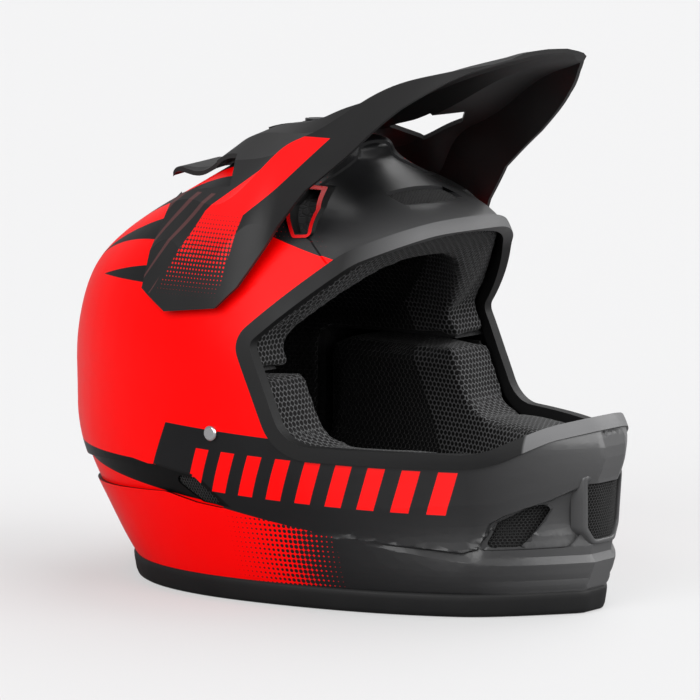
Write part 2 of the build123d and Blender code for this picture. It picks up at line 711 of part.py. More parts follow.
# Centre screw of the visor with its washer, and the threaded insert in the crown
flange_top = visor_pivot_height + sqrt(slot_floor_radius ** 2 - insert_flange_radius ** 2) - fit_gap
washer_bottom = visor_pivot_height + slot_top + touch_gap
head_bottom = washer_bottom + washer_thickness
with BuildPart() as visor_insert:
    add(top_bar(insert_radius, crown_top - insert_length, flange_top))
    add(top_bar(insert_flange_radius, crown_top, flange_top))
    add(top_bar(screw_shank_radius, head_bottom - screw_reach - insert_length / 2, top_height), mode=Mode.SUBTRACT)
saved("visor_insert", visor_insert.part)
with BuildPart() as visor_washer:
    add(top_bar(washer_radius, washer_bottom, head_bottom))
    add(top_bar(screw_shank_radius, 0, top_height), mode=Mode.SUBTRACT)
saved("visor_washer", visor_washer.part)
with BuildPart() as visor_screw:
    add(top_bar(screw_shank_radius, head_bottom - screw_reach, head_bottom))
    add(top_bar(screw_head_radius, head_bottom, head_bottom + screw_head_height))
    add(block((centre_x - screw_head_radius, -screw_slot_width / 2, head_bottom + screw_head_height - screw_slot_depth),
              (centre_x + screw_head_radius, screw_slot_width / 2, top_height)), mode=Mode.SUBTRACT)
saved("visor_screw", visor_screw.part)

# Strap rivets with domed heads, their spacers inside the shell and their washers
with BuildPart() as strap_rivets:
    with BuildSketch(Plane.XZ.offset(-rivet_y)):
        with Locations((rivet_x, rivet_height)):
            Circle(rivet_head_radius)
    extrude(amount=-rivet_head_height)
    fillet(strap_rivets.faces().sort_by(Axis.Y)[-1].edges(), rivet_head_round)
    add(envelope(-touch_gap), mode=Mode.SUBTRACT)
    add(side_bar(rivet_shank_radius, rivet_y - plate_depth + fit_gap, rivet_y + rivet_head_height / 2, rivet_x,
                 rivet_height))
    mirror(about=Plane.XZ)
saved("strap_rivets", strap_rivets.part)
strap_outside = envelope(strap_depth)
strap_inside = envelope(strap_depth + webbing_thickness)
rivet_hole = side_bar(rivet_shank_radius, 0, reach_y, rivet_x, rivet_height)
with BuildPart() as rivet_spacers:
    add(cut_form(inside, keep=[side_bar(spacer_radius, 0, reach_y, rivet_x, rivet_height)],
                 cut=[strap_outside, rivet_hole]))
    mirror(about=Plane.XZ)
saved("rivet_spacers", rivet_spacers.part)
with BuildPart() as rivet_washers:
    add(cut_form(strap_inside, keep=[side_bar(spacer_radius, 0, reach_y, rivet_x, rivet_height)],
                 cut=[envelope(plate_depth - fit_gap), rivet_hole]))
    mirror(about=Plane.XZ)
saved("rivet_washers", rivet_washers.part)

# Chin strap webbing: down inside the shell, in over the base trim, and flat into the neck opening
webbing_front = rivet_x + webbing_width / 2
webbing_rear = rivet_x - webbing_width / 2
strap_middle = strap_depth + webbing_thickness / 2
knee_top = half_width_at(rivet_x, strap_turn_height) - strap_middle * layer_shift
floor_middle = strap_floor_gap + webbing_thickness / 2


# The lower run of a strap, from the knee to a free end
def strap_run(end):
    points = [(knee_top, strap_turn_height + webbing_thickness), (strap_knee_reach, strap_knee_height),
              (strap_heel_reach, floor_middle), (end, floor_middle)]
    left = shifted(points, webbing_thickness / 2)
    right = shifted(points, -webbing_thickness / 2)
    with BuildPart() as run:
        with BuildSketch(Plane.YZ.offset(webbing_rear)):
            with BuildLine():
                Polyline(*left, *reversed(right), close=True)
            make_face()
        extrude(amount=webbing_width)
    return run.part


strap_fall = cut_form(strap_outside, keep=[block((webbing_rear, 0, strap_turn_height),
                                                 (webbing_front, reach_y, strap_top))],
                      cut=[strap_inside, rivet_hole])
loop_inner = ring_wire + snap_gap
loop_outer = loop_inner + webbing_thickness
loop_height = strap_floor_gap + loop_outer
with BuildPart() as strap_short:
    add(strap_fall)
    add(strap_run(loop_reach))
    with BuildSketch(Plane.YZ.offset(webbing_rear)):
        with Locations((loop_reach, loop_height)):
            Circle(loop_outer)
            Circle(loop_inner, mode=Mode.SUBTRACT)
    extrude(amount=webbing_width)
saved("strap_short", strap_short.part)
with BuildPart() as strap_long_mirrored:
    add(strap_fall)
    add(strap_run(-long_strap_end))
with BuildPart() as strap_long:
    mirror(strap_long_mirrored.part, about=Plane.XZ)
saved("strap_long", strap_long.part)
with BuildPart() as strap_snap:
    with BuildSketch(Plane.XY.offset(strap_floor_gap + webbing_thickness)):
        with Locations((rivet_x, long_strap_end - snap_stud_radius - webbing_thickness)):
            Circle(snap_stud_radius)
    extrude(amount=snap_stud_height)
    fillet(strap_snap.faces().sort_by(Axis.Z)[-1].edges(), small_corner)
saved("strap_snap", strap_snap.part)


# A D-shaped ring of round wire that lies flat at a height, its straight bar through the strap's loop
def d_ring(height):
    half = ring_inner_width / 2 + ring_wire / 2
    far = loop_reach - ring_length
    with BuildPart() as ring:
        with BuildLine() as path:
            Line((rivet_x - half, loop_reach, height), (rivet_x + half, loop_reach, height))
            Line((rivet_x + half, loop_reach, height), (rivet_x + half, far + half, height))
            RadiusArc((rivet_x + half, far + half, height), (rivet_x - half, far + half, height), half)
            Line((rivet_x - half, far + half, height), (rivet_x - half, loop_reach, height))
        with BuildSketch(Plane(origin=(rivet_x, loop_reach, height), x_dir=(0, 1, 0), z_dir=(1, 0, 0))):
            Circle(ring_wire / 2)
        sweep(path=path.wires()[0], transition=Transition.ROUND)
    return ring.part


ring_step = ring_wire / 2 + touch_gap
with BuildPart() as inner_d_ring:
    add(d_ring(loop_height - ring_step))
saved("inner_d_ring", inner_d_ring.part)
with BuildPart() as outer_d_ring:
    add(d_ring(loop_height + ring_step))
saved("outer_d_ring", outer_d_ring.part)
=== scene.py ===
# %% [markdown]
# # Full face helmet for downhill biking
# The helmet is built from a fixed frame of solid parts. This lesson dresses those parts: it sets the camera
# and the studio, gives every hard part a finish made of shader nodes, and swaps the plain pads for soft
# sewn ones.

# %% The frame
import bpy
import bmesh
import math
from mathutils import Vector, Matrix
from mathutils.bvhtree import BVHTree


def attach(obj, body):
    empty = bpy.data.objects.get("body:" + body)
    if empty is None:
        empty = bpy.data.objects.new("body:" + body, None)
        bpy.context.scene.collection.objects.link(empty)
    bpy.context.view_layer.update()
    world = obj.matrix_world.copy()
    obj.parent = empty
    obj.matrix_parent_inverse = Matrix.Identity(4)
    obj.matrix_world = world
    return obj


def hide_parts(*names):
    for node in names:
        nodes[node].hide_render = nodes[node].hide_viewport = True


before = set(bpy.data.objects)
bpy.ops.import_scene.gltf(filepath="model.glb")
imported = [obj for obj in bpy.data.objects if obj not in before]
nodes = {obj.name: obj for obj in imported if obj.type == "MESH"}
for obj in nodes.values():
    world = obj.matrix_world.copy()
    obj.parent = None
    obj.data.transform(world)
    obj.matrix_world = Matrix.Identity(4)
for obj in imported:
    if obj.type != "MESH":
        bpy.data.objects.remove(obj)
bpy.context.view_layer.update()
print("parts in the frame:", len(nodes))

# %% [markdown]
# ## The camera
# A long lens far away gives the flat look of a product picture. The camera stands on a ray from the
# helmet's middle, so its place follows from two angles, and aiming it a little to the side sets where the
# helmet sits in the picture.

# %% Camera
turn, lift, distance = math.radians(38), math.radians(7.5), 2.5
toward = Vector((math.cos(lift) * math.sin(turn), -math.cos(lift) * math.cos(turn), math.sin(lift)))
right = Vector((math.cos(turn), math.sin(turn), 0))
up = toward.cross(right)
aim = Vector((0.0055, 0, 0.150)) - right * 0.0081 - up * 0.020
camera_data = bpy.data.cameras.new("camera")
camera_data.lens, camera_data.sensor_width = 230.1, 36
camera = bpy.data.objects.new("camera", camera_data)
camera.location = aim + toward * distance
camera.rotation_mode = "QUATERNION"
camera.rotation_quaternion = (-toward).to_track_quat("-Z", "Y")
bpy.context.scene.collection.objects.link(camera)
bpy.context.scene.camera = camera
print("camera at", [round(c, 3) for c in camera.location])

# %% [markdown]
# ## The studio
# A pale floor under a pale sky, and a few soft suns. A sun lights the floor evenly however far it reaches,
# so the background stays one plain tone, and a wide angle makes its shadows and highlights soft, as a large
# softbox would.

# %% Floor, lights and sky
scene = bpy.context.scene
scene.view_settings.view_transform = "Standard"
scene.view_settings.look = "None"
world = bpy.data.worlds.new("studio")
scene.world = world
world.use_nodes = True
sky = world.node_tree
light_path = sky.nodes.new("ShaderNodeLightPath")
sky_tone = sky.nodes.new("ShaderNodeMix")
sky_tone.data_type = "RGBA"
sky_tone.inputs[6].default_value = (0.33, 0.33, 0.335, 1)
sky_tone.inputs[7].default_value = (0.90, 0.90, 0.90, 1)
sky.links.new(light_path.outputs["Is Camera Ray"], sky_tone.inputs[0])
sky.links.new(sky_tone.outputs[2], sky.nodes["Background"].inputs["Color"])


def soft_sun(name, came_from, strength, width):
    lamp = bpy.data.lights.new(name, "SUN")
    lamp.energy, lamp.angle = strength, math.radians(width)
    holder = bpy.data.objects.new(name, lamp)
    holder.rotation_mode = "QUATERNION"
    holder.rotation_quaternion = (-Vector(came_from)).to_track_quat("-Z", "Y")
    holder.location = Vector(came_from).normalized() * 3
    scene.collection.objects.link(holder)
    return holder


soft_sun("back_sun", (0.05, 0.65, 0.75), 2.2, 60)
soft_sun("front_sun", (0.15, -1.0, 0.50), 2.5, 50)
soft_sun("right_sun", (0.85, 0.20, 0.50), 3.0, 55)

floor_mesh = bpy.data.meshes.new("floor")
floor_mesh.from_pydata([(-40, -40, 0), (40, -40, 0), (40, 40, 0), (-40, 40, 0)], [], [(0, 1, 2, 3)])
floor = bpy.data.objects.new("floor", floor_mesh)
floor.location.z = -0.0002
scene.collection.objects.link(floor)

# %% [markdown]
# ## Small helpers for shader nodes
# A finish is a graph of nodes. These helpers add a node, set its values and link it in one line, so that
# each material below reads like a recipe.


# %% Helpers that build node graphs
def fill_sockets(tree, node, links):
    for socket, source in links.items():
        if isinstance(source, bpy.types.NodeSocket):
            tree.links.new(source, node.inputs[socket])
        else:
            node.inputs[socket].default_value = source
    return node


def add_node(tree, kind, links=None, **values):
    node = tree.nodes.new(kind)
    for key, value in values.items():
        setattr(node, key, value)
    return fill_sockets(tree, node, links or {})


def math_node(tree, operation, a, b=0.0, c=0.0, clamp=False):
    return add_node(tree, "ShaderNodeMath", {0: a, 1: b, 2: c}, operation=operation,
                    use_clamp=clamp).outputs[0]


def blend_colour(tree, mask, first, second):
    node = tree.nodes.new("ShaderNodeMix")
    node.data_type = "RGBA"
    return fill_sockets(tree, node, {0: mask, 6: first, 7: second}).outputs[2]


# A value read on one span and laid out on another, such as a fade from 0 to 1 over a length
def fade(tree, value, start, end, low=0.0, high=1.0):
    return add_node(tree, "ShaderNodeMapRange", {0: value, 1: start, 2: end, 3: low, 4: high}).outputs[0]


def opposite(tree, mask):
    return math_node(tree, "SUBTRACT", 1.0, mask)


def raise_surface(tree, shader, strength, depth, height):
    bump = add_node(tree, "ShaderNodeBump", {"Strength": strength, "Distance": depth, "Height": height})
    tree.links.new(bump.outputs[0], shader.inputs["Normal"])


def new_group(name, inputs, outputs):
    group = bpy.data.node_groups.new(name, "ShaderNodeTree")
    for label, kind, value in inputs:
        socket = group.interface.new_socket(label, in_out="INPUT", socket_type=kind)
        if value is not None:
            socket.default_value = value
    for label, kind in outputs:
        group.interface.new_socket(label, in_out="OUTPUT", socket_type=kind)
    return group, group.nodes.new("NodeGroupInput").outputs, group.nodes.new("NodeGroupOutput").inputs


def new_material(name):
    material = bpy.data.materials.new(name)
    material.use_nodes = True
    tree = material.node_tree
    return material, tree, tree.nodes["Principled BSDF"]


def place_group(tree, group, links=None):
    node = tree.nodes.new("ShaderNodeGroup")
    node.node_tree = group
    return fill_sockets(tree, node, links or {})


# %% [markdown]
# ## Shared effects
# Three effects turn up in several finishes: a fine orange-peel grain with smudges, a knitted mesh, and a
# woven band. Each is a node group, built once, with its scale and sizes as inputs, so each finish can
# use its own values.


# %% Effect: fine grain and smudges of moulded and painted plastic
def make_grain_group():
    group, given, out = new_group("moulded_grain",
                                  [("Scale", "NodeSocketFloat", 900.0), ("Smudge", "NodeSocketFloat", 14.0)],
                                  [("Height", "NodeSocketFloat"), ("Smudges", "NodeSocketFloat")])
    place = add_node(group, "ShaderNodeTexCoord").outputs["Object"]
    fine = add_node(group, "ShaderNodeTexNoise", {"Vector": place, "Scale": given["Scale"], "Detail": 2.0})
    wide = add_node(group, "ShaderNodeTexNoise", {"Vector": place, "Scale": given["Smudge"], "Detail": 5.0,
                                                  "Roughness": 0.6})
    group.links.new(fine.outputs[0], out["Height"])
    group.links.new(wide.outputs[0], out["Smudges"])
    return group


grain = make_grain_group()


# %% Effect: open knitted mesh, as round holes in offset rows, laid from three sides and blended
def hole_rows(group, across, along, hole):
    flat = add_node(group, "ShaderNodeCombineXYZ", {0: across, 1: along}).outputs[0]
    cell = (1.0, 1.732, 1.0)
    reaches = []
    for shift in ((1000.0, 1732.0, 0.0), (1000.5, 1732.866, 0.0)):
        moved = add_node(group, "ShaderNodeVectorMath", {0: flat, 1: shift}, operation="ADD").outputs[0]
        inside = add_node(group, "ShaderNodeVectorMath", {0: moved, 1: cell}, operation="MODULO").outputs[0]
        off = add_node(group, "ShaderNodeVectorMath", {0: inside, 1: (0.5, 0.866, 0.0)},
                       operation="SUBTRACT").outputs[0]
        reaches.append(add_node(group, "ShaderNodeVectorMath", {0: off}, operation="LENGTH").outputs["Value"])
    near = math_node(group, "SUBTRACT", math_node(group, "MINIMUM", reaches[0], reaches[1]), hole)
    return math_node(group, "MULTIPLY", near, 7.0, clamp=True)


def make_knit_group():
    group, given, out = new_group("knitted_mesh",
                                  [("Rows", "NodeSocketFloat", 400.0), ("Hole", "NodeSocketFloat", 0.33)],
                                  [("Thread", "NodeSocketFloat"), ("Height", "NodeSocketFloat"),
                                   ("Tint", "NodeSocketFloat")])
    spot = add_node(group, "ShaderNodeTexCoord").outputs
    scaled = add_node(group, "ShaderNodeVectorMath", {0: spot["Object"], 3: given["Rows"]},
                      operation="SCALE").outputs[0]
    x, y, z = add_node(group, "ShaderNodeSeparateXYZ", {0: scaled}).outputs
    turned = add_node(group, "ShaderNodeSeparateXYZ", {0: spot["Normal"]}).outputs
    sides = [hole_rows(group, y, z, given["Hole"]), hole_rows(group, x, z, given["Hole"]),
             hole_rows(group, x, y, given["Hole"])]
    shares = [math_node(group, "POWER", math_node(group, "ABSOLUTE", part), 8.0) for part in turned]
    whole = math_node(group, "ADD", math_node(group, "ADD", shares[0], shares[1]), shares[2])
    parts = [math_node(group, "MULTIPLY", side, share) for side, share in zip(sides, shares)]
    total = math_node(group, "ADD", math_node(group, "ADD", parts[0], parts[1]), parts[2])
    thread = math_node(group, "DIVIDE", total, whole, clamp=True)
    tint = add_node(group, "ShaderNodeTexNoise", {"Vector": spot["Object"], "Scale": 60.0,
                                                  "Detail": 4.0}).outputs[0]
    group.links.new(thread, out["Thread"])
    group.links.new(thread, out["Height"])
    group.links.new(tint, out["Tint"])
    return group


knit = make_knit_group()


# %% Effect: slanted weave of webbing
def make_weave_group():
    group, given, out = new_group("band_weave", [("Scale", "NodeSocketFloat", 900.0)],
                                  [("Height", "NodeSocketFloat")])
    place = add_node(group, "ShaderNodeTexCoord").outputs["Object"]
    first = add_node(group, "ShaderNodeTexWave", {"Vector": place, "Scale": given["Scale"]},
                     bands_direction="X")
    second = add_node(group, "ShaderNodeTexWave", {"Vector": place, "Scale": given["Scale"]},
                      bands_direction="DIAGONAL")
    both = math_node(group, "MULTIPLY", first.outputs[1], second.outputs[1])
    group.links.new(both, out["Height"])
    return group


weave = make_weave_group()
print("effects:", [g.name for g in bpy.data.node_groups])

# %% [markdown]
# ## Paint shapes on the shell
# The paint is red behind and black in front, with bars, tapered stripes and dot fades. Each shape is a mask
# worked out from the side view place of a point, so the paint needs no picture and lies the same on both
# sides.


# %% Effect: a mask on one side of a line in the side view
def make_side_of_line_group():
    group, given, out = new_group("side_of_line",
                                  [("X", "NodeSocketFloat", 0.0), ("Z", "NodeSocketFloat", 0.0),
                                   ("Slope", "NodeSocketFloat", 0.0), ("Sharp", "NodeSocketFloat", 4.0)],
                                  [("Above", "NodeSocketFloat")])
    place = add_node(group, "ShaderNodeTexCoord").outputs["Object"]
    split = add_node(group, "ShaderNodeSeparateXYZ", {0: place}).outputs
    x = math_node(group, "SUBTRACT", math_node(group, "MULTIPLY", split[0], 1000.0), given["X"])
    z = math_node(group, "SUBTRACT", math_node(group, "MULTIPLY", split[2], 1000.0), given["Z"])
    rise = math_node(group, "SUBTRACT", z, math_node(group, "MULTIPLY", x, given["Slope"]))
    above = math_node(group, "ADD", math_node(group, "MULTIPLY", rise, given["Sharp"]), 0.5, clamp=True)
    group.links.new(above, out["Above"])
    return group


side_of_line = make_side_of_line_group()


def above(tree, x, z, slope, sharp=4.0):
    return place_group(tree, side_of_line, {"X": x, "Z": z, "Slope": slope, "Sharp": sharp}).outputs[0]


def below(tree, x, z, slope, sharp=4.0):
    return opposite(tree, above(tree, x, z, slope, sharp))


# A mask of what lies in front of a steep line from a low place, leaning forward by a length for each unit
# of height
def ahead(tree, x, z, lean, sharp=4.0):
    place = add_node(tree, "ShaderNodeTexCoord").outputs["Object"]
    split = add_node(tree, "ShaderNodeSeparateXYZ", {0: place}).outputs
    run = math_node(tree, "SUBTRACT", math_node(tree, "MULTIPLY", split[0], 1000.0), x)
    height = math_node(tree, "SUBTRACT", math_node(tree, "MULTIPLY", split[2], 1000.0), z)
    past = math_node(tree, "SUBTRACT", run, math_node(tree, "MULTIPLY", height, lean))
    return math_node(tree, "ADD", math_node(tree, "MULTIPLY", past, sharp), 0.5, clamp=True)


def both(tree, *masks):
    result = masks[0]
    for mask in masks[1:]:
        result = math_node(tree, "MULTIPLY", result, mask)
    return result


def either(tree, *masks):
    result = masks[0]
    for mask in masks[1:]:
        result = math_node(tree, "MAXIMUM", result, mask)
    return result


# %% Effect: slanted bars and tapered stripes
def make_bars_group():
    group, given, out = new_group("slanted_bars",
                                  [("Pitch", "NodeSocketFloat", 20.0), ("Lean", "NodeSocketFloat", 0.3),
                                   ("Share", "NodeSocketFloat", 0.55), ("Shift", "NodeSocketFloat", 0.0)],
                                  [("Bar", "NodeSocketFloat")])
    place = add_node(group, "ShaderNodeTexCoord").outputs["Object"]
    split = add_node(group, "ShaderNodeSeparateXYZ", {0: place}).outputs
    x = math_node(group, "MULTIPLY", split[0], 1000.0)
    z = math_node(group, "MULTIPLY", split[2], 1000.0)
    run = math_node(group, "ADD", math_node(group, "SUBTRACT", x,
                                            math_node(group, "MULTIPLY", z, given["Lean"])), given["Shift"])
    turns = math_node(group, "FRACT", math_node(group, "DIVIDE", run, given["Pitch"]))
    off = math_node(group, "SUBTRACT", given["Share"], turns)
    edge = math_node(group, "MULTIPLY", math_node(group, "MULTIPLY", off, given["Pitch"]), 4.0, clamp=True)
    group.links.new(edge, out["Bar"])
    return group


bars = make_bars_group()


# %% Effect: a fade made of dots that shrink along a direction
def make_dots_group():
    group, given, out = new_group("dot_fade", [("Pitch", "NodeSocketFloat", 3.0),
                                               ("Fade", "NodeSocketFloat", 0.5)],
                                  [("Dot", "NodeSocketFloat")])
    place = add_node(group, "ShaderNodeTexCoord").outputs["Object"]
    split = add_node(group, "ShaderNodeSeparateXYZ", {0: place}).outputs
    cells = []
    for axis in (0, 2):
        scaled = math_node(group, "DIVIDE", math_node(group, "MULTIPLY", split[axis], 1000.0), given["Pitch"])
        cells.append(math_node(group, "SUBTRACT", math_node(group, "FRACT", scaled), 0.5))
    reach = math_node(group, "SQRT", math_node(group, "ADD", math_node(group, "MULTIPLY", cells[0], cells[0]),
                                               math_node(group, "MULTIPLY", cells[1], cells[1])))
    inside = math_node(group, "SUBTRACT", math_node(group, "MULTIPLY", given["Fade"], 0.75), reach)
    dot = math_node(group, "MULTIPLY", inside, 12.0, clamp=True)
    group.links.new(dot, out["Dot"])
    return group


dots = make_dots_group()


# %% Effect: a mask of faces that look away from the middle of the head, so that the inside stays unpainted
def make_outward_group():
    group, given, out = new_group("outward_faces", [("Turn", "NodeSocketFloat", 0.1)],
                                  [("Outward", "NodeSocketFloat")])
    spot = add_node(group, "ShaderNodeTexCoord").outputs
    away = add_node(group, "ShaderNodeVectorMath", {0: spot["Object"], 1: (-0.02, 0.0, 0.12)},
                    operation="SUBTRACT").outputs[0]
    away = add_node(group, "ShaderNodeVectorMath", {0: away}, operation="NORMALIZE").outputs[0]
    turned = add_node(group, "ShaderNodeVectorMath", {0: away, 1: spot["Normal"]},
                      operation="DOT_PRODUCT").outputs["Value"]
    over = math_node(group, "SUBTRACT", turned, given["Turn"])
    group.links.new(math_node(group, "MULTIPLY", over, 12.0, clamp=True), out["Outward"])
    return group


outward_faces = make_outward_group()
print("paint shapes ready")

# %% [markdown]
# ## Shell paint
# The red and the black are laid as masks over each other, from the widest area to the smallest, as a
# painter would mask a shell. A clear coat over a slightly rough base gives the satin glow, and the fine
# grain breaks the highlight. The black at the chin front and the brow is laid lighter grey as a painted
# highlight.

# %% Painted shell
red, black, stripe_channel_shade = (1.0, 0.0004, 0.0006, 1), (0.0055, 0.0055, 0.006, 1), (0.002, 0.002, 0.002, 1)
grey = (0.030, 0.030, 0.031, 1)
shell_paint, tree, shader = new_material("shell_paint")

front_low = both(tree, ahead(tree, 62, 0, -0.10), below(tree, 0, 110, 0))
band = both(tree, ahead(tree, -62, 56, 0.45), below(tree, -20, 97, -0.05), above(tree, -28, 57.5, -0.18))
stripe = both(tree, below(tree, -80, 76, -0.12), below(tree, -80, 75, 0.0), above(tree, -53, 59.5, -0.10),
              opposite(tree, ahead(tree, -8, 60, -1.2)))
crown_front = both(tree, ahead(tree, 52, 180, -0.80), above(tree, 0, 176, 0))
fade_x = add_node(tree, "ShaderNodeSeparateXYZ",
                  {0: add_node(tree, "ShaderNodeTexCoord").outputs["Object"]}).outputs
low_fade = fade(tree, fade_x[0], -0.012, 0.062)
low_dots = both(tree, place_group(tree, dots, {"Pitch": 2.8, "Fade": low_fade}).outputs[0],
                below(tree, 0, 50, 0), ahead(tree, -12, 0, -0.1))
top_fade = fade(tree, fade_x[0], -0.045, 0.018)
top_dots = both(tree, place_group(tree, dots, {"Pitch": 2.4, "Fade": top_fade}).outputs[0],
                above(tree, 0, 205, -0.35))
rear_taper = fade(tree, fade_x[0], -0.150, -0.045, 0.0, 0.66)
height_over = math_node(tree, "SUBTRACT", fade_x[2], 0.120)
tilt = math_node(tree, "ARCTAN2", math_node(tree, "ABSOLUTE", fade_x[1]), height_over)
tilt_turns = math_node(tree, "DIVIDE", math_node(tree, "ADD", math_node(tree, "MULTIPLY", tilt, 57.3), 2.0),
                       15.0)
off_stripe = math_node(tree, "SUBTRACT", rear_taper, math_node(tree, "FRACT", tilt_turns))
stripe_edge = math_node(tree, "MULTIPLY", off_stripe, 60.0, clamp=True)
rear_bars = both(tree, stripe_edge, above(tree, -100, 172, 0.0), opposite(tree, ahead(tree, 0, 200, 0.1)))
black_areas = (front_low, band, stripe, crown_front, low_dots, top_dots, rear_bars)
black_mask = either(tree, *black_areas)
band_bars = both(tree, place_group(tree, bars, {"Pitch": 17.0, "Lean": 0.35, "Share": 0.52}).outputs[0],
                 ahead(tree, -31, 62, 0.35), opposite(tree, ahead(tree, 118, 62, 0.35)),
                 below(tree, 0, 85, -0.04), above(tree, 0, 62, -0.05))
effects = place_group(tree, grain, {"Scale": 1500.0, "Smudge": 11.0})
black_tone = blend_colour(tree, math_node(tree, "MULTIPLY", effects.outputs["Smudges"], 0.35), black, grey)
# Painted highlight: towards the front of the chin and at the brow the black is laid lighter grey, standing in
# for the glint of a large light from the right.
chin_painted_highlight = fade(tree, fade_x[0], 0.125, 0.178)
brow_painted_highlight = both(tree, fade(tree, fade_x[0], 0.034, 0.088), above(tree, 0, 180, 0))
front_painted_highlight = math_node(tree, "MULTIPLY", either(tree, chin_painted_highlight, brow_painted_highlight), 0.85)
black_tone = blend_colour(tree, front_painted_highlight, black_tone, (0.070, 0.070, 0.071, 1))
base = blend_colour(tree, black_mask, red, black_tone)
# The rear stripe is black paint, and it is laid darker still as painted shade in its recessed channel.
base = blend_colour(tree, stripe, base, stripe_channel_shade)
base = blend_colour(tree, band_bars, base, red)
painted = both(tree, place_group(tree, outward_faces, {"Turn": -0.35}).outputs[0], above(tree, 0, 12, 0))
base = blend_colour(tree, painted, (0.003, 0.003, 0.003, 1), base)
tree.links.new(base, shader.inputs["Base Color"])
rough = fade(tree, effects.outputs["Smudges"], 0.3, 0.7, 0.30, 0.42)
tree.links.new(rough, shader.inputs["Roughness"])
satin = fade(tree, fade_x[0], 0.030, 0.120, 0.10, 0.90)
tree.links.new(both(tree, satin, black_mask, painted), shader.inputs["Coat Weight"])
shader.inputs["Coat Roughness"].default_value = 0.38
shader.inputs["Specular IOR Level"].default_value = 0.10
raise_surface(tree, shader, 0.04, 0.0005, effects.outputs["Height"])
print("black areas in the paint:", len(black_areas))

# %% [markdown]
# ## Plain finishes
# Moulded plastic, rubber, metal and bead foam differ in how rough they are and in what breaks their
# surface. One short recipe takes those numbers and gives each its own grain, so the parts look made of
# different stuff.


# %% Plastic, rubber, metal and foam
soot, coal, slate = (0.006, 0.006, 0.0065, 1), (0.012, 0.012, 0.012, 1), (0.125, 0.125, 0.127, 1)


def base_colour(material):
    return material.node_tree.nodes["Principled BSDF"].inputs["Base Color"]


def moulded(name, colour, second, rough_low, rough_high, scale=1200.0, strength=0.08, metal=0.0, coat=0.0):
    material, tree, shader = new_material(name)
    effects = place_group(tree, grain, {"Scale": scale, "Smudge": 22.0})
    tone = blend_colour(tree, effects.outputs["Smudges"], colour, second)
    tree.links.new(tone, shader.inputs["Base Color"])
    rough = fade(tree, effects.outputs["Smudges"], 0.3, 0.7, rough_low, rough_high)
    tree.links.new(rough, shader.inputs["Roughness"])
    shader.inputs["Metallic"].default_value = metal
    shader.inputs["Coat Weight"].default_value = coat
    shader.inputs["Specular IOR Level"].default_value = 0.5 if metal else 0.2
    raise_surface(tree, shader, strength, 0.0006, effects.outputs["Height"])
    return material


rubber = moulded("trim_rubber", soot, coal, 0.48, 0.62, 1600.0, 0.12)
tree = rubber.node_tree
# The chin-top plate is bare grey plastic. The brow part of the trim is laid grey too, as a painted highlight
# for the light from the right.
plate_and_brow_highlight = both(tree, ahead(tree, 150, 100, 0.0, 1.0), above(tree, 0, 60, 0.0))
trim_brow_highlight = both(tree, ahead(tree, 62, 190, 0.0, 0.04), above(tree, 0, 170, 0.0, 0.05))
plate_and_brow_highlight = math_node(tree, "MAXIMUM", plate_and_brow_highlight, math_node(tree, "MULTIPLY", trim_brow_highlight, 0.8))
plate_and_highlight_tone = blend_colour(tree, plate_and_brow_highlight, base_colour(rubber).links[0].from_socket, slate)
tree.links.new(plate_and_highlight_tone, base_colour(rubber))
plate_plastic = moulded("plate_plastic", (0.006, 0.006, 0.006, 1), (0.014, 0.014, 0.014, 1), 0.45, 0.6)
red_plastic = moulded("intake_red", (0.50, 0.002, 0.004, 1), (0.62, 0.003, 0.004, 1), 0.3, 0.42)
tree = red_plastic.node_tree
frame_side = add_node(tree, "ShaderNodeSeparateXYZ",
                      {0: add_node(tree, "ShaderNodeTexCoord").outputs["Normal"]}).outputs[1]
lip = both(tree, place_group(tree, outward_faces, {"Turn": 0.72}).outputs[0],
           math_node(tree, "GREATER_THAN", math_node(tree, "ABSOLUTE", frame_side), 0.3))
lip_tone = blend_colour(tree, lip, (0.004, 0.004, 0.004, 1), base_colour(red_plastic).links[0].from_socket)
tree.links.new(lip_tone, base_colour(red_plastic))
steel = moulded("polished_steel", (0.62, 0.62, 0.63, 1), (0.74, 0.74, 0.75, 1), 0.14, 0.26, 2200.0, 0.03,
                metal=1.0)
brass = moulded("turned_brass", (0.56, 0.40, 0.16, 1), (0.66, 0.48, 0.2, 1), 0.25, 0.4, 2200.0, 0.05,
                metal=1.0)
screw_metal = moulded("black_anodised", (0.03, 0.03, 0.033, 1), (0.05, 0.05, 0.052, 1), 0.28, 0.4, 2200.0,
                      0.05, metal=0.8)


def bead_foam():
    material, tree, shader = new_material("bead_foam")
    place = add_node(tree, "ShaderNodeTexCoord").outputs["Object"]
    cells = add_node(tree, "ShaderNodeTexVoronoi", {"Vector": place, "Scale": 260.0},
                     feature="DISTANCE_TO_EDGE")
    groove = math_node(tree, "MULTIPLY", cells.outputs["Distance"], 6.0, clamp=True)
    tone = blend_colour(tree, groove, (0.003, 0.003, 0.003, 1), (0.010, 0.010, 0.011, 1))
    tree.links.new(tone, shader.inputs["Base Color"])
    shader.inputs["Roughness"].default_value = 0.8
    raise_surface(tree, shader, 0.35, 0.0008, groove)
    return material


foam = bead_foam()
print("plain finishes:", len(bpy.data.materials))

# %% [markdown]
# ## Visor finish
# The visor is matt black. Each arm carries a red field that breaks up downwards into dots, with plain
# tapered stripes beside it. Fields, dots and stripes come from the effects that the shell uses, so both are
# one design.

